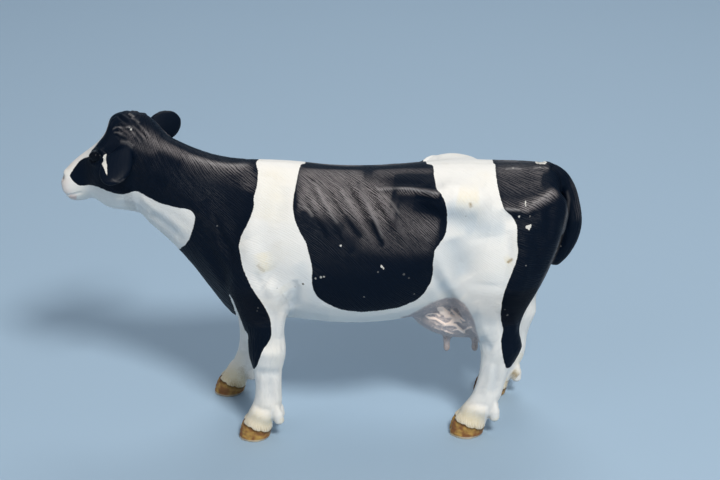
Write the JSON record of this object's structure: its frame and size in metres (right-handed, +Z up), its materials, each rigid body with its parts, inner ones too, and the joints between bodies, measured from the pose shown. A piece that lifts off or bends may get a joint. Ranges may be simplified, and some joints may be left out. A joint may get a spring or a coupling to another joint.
{
  "type": "toy cow figure",
  "caption": "Standing toy cow figure in hand-painted moulded plastic, with the head turned slightly to its right, an udder and a hanging tail.",
  "frame": {"origin": "centre of the bounding box at the ground plane, under the hooves", "axes": "the cow faces -X, its left side is -Y, +Z is up"},
  "size_m": [0.1286, 0.037, 0.082],
  "materials": {
    "body_paint": "white painted moulded plastic with black coat patches, satin, hair lines moulded in and dry brushed",
    "head_paint": "black painted moulded plastic with a white muzzle, blaze and throat, satin",
    "ear_paint": "black painted moulded plastic, satin, worn at the rim",
    "leg_paint": "white painted moulded plastic with black coat patches, ochre brown hooves, satin",
    "tail_paint": "black painted moulded plastic, satin, hair lines moulded in",
    "udder_paint": "greyish pink painted moulded plastic with paler raised veins"
  },
  "bodies": {
    "root": {"trunk": "body_paint", "head": "head_paint", "ear_left": "ear_paint", "ear_right": "ear_paint", "foreleg_left": "leg_paint", "foreleg_right": "leg_paint", "hindleg_left": "leg_paint", "hindleg_right": "leg_paint", "udder": "udder_paint", "tail": "tail_paint"}
  },
  "joints": []
}
